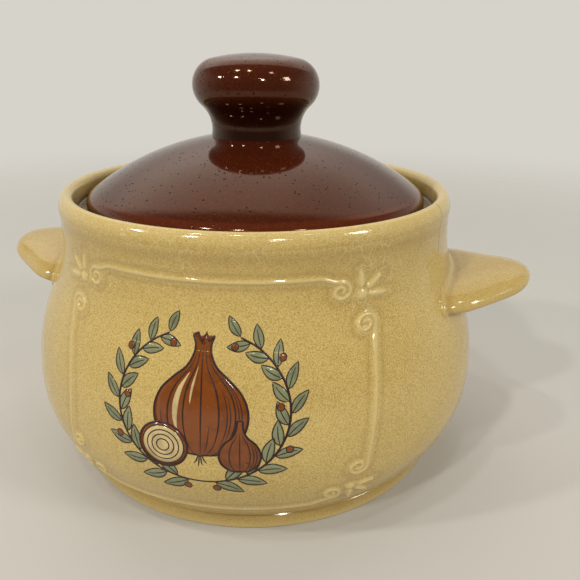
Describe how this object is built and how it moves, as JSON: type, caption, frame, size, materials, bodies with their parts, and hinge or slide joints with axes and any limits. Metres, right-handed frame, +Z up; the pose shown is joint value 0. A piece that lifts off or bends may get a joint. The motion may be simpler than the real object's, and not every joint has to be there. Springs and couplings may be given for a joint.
{
  "type": "lidded soup crock",
  "caption": "Bellied stoneware soup crock with tab lugs, a raised frame on its front, and a domed lift-off lid with a mushroom knob seated inside the rim.",
  "frame": {"origin": "centre of the foot, on the surface that the crock stands on", "axes": "+Z up the pot's axis, +X through the right lug, -Y out of the front with the raised frame"},
  "size_m": [0.1694, 0.14, 0.1201],
  "materials": {
    "tan_glaze": "glossy honey-tan glaze, finely crazed",
    "brown_glaze": "glossy dark red-brown glaze with pin-holes"
  },
  "bodies": {
    "crock": {"crock_body": "tan_glaze", "left_lug": "tan_glaze", "right_lug": "tan_glaze", "panel_rails": "tan_glaze", "top_left_sprig": "tan_glaze", "top_right_sprig": "tan_glaze", "bottom_left_sprig": "tan_glaze", "bottom_right_sprig": "tan_glaze"},
    "lid": {"lid_dome": "brown_glaze", "lid_knob": "brown_glaze"}
  },
  "joints": [
    {"name": "lid_lift", "type": "slide", "parent": "crock", "child": "lid", "axis": [0, 0, 1], "range_m": [0, 0.06]}
  ]
}
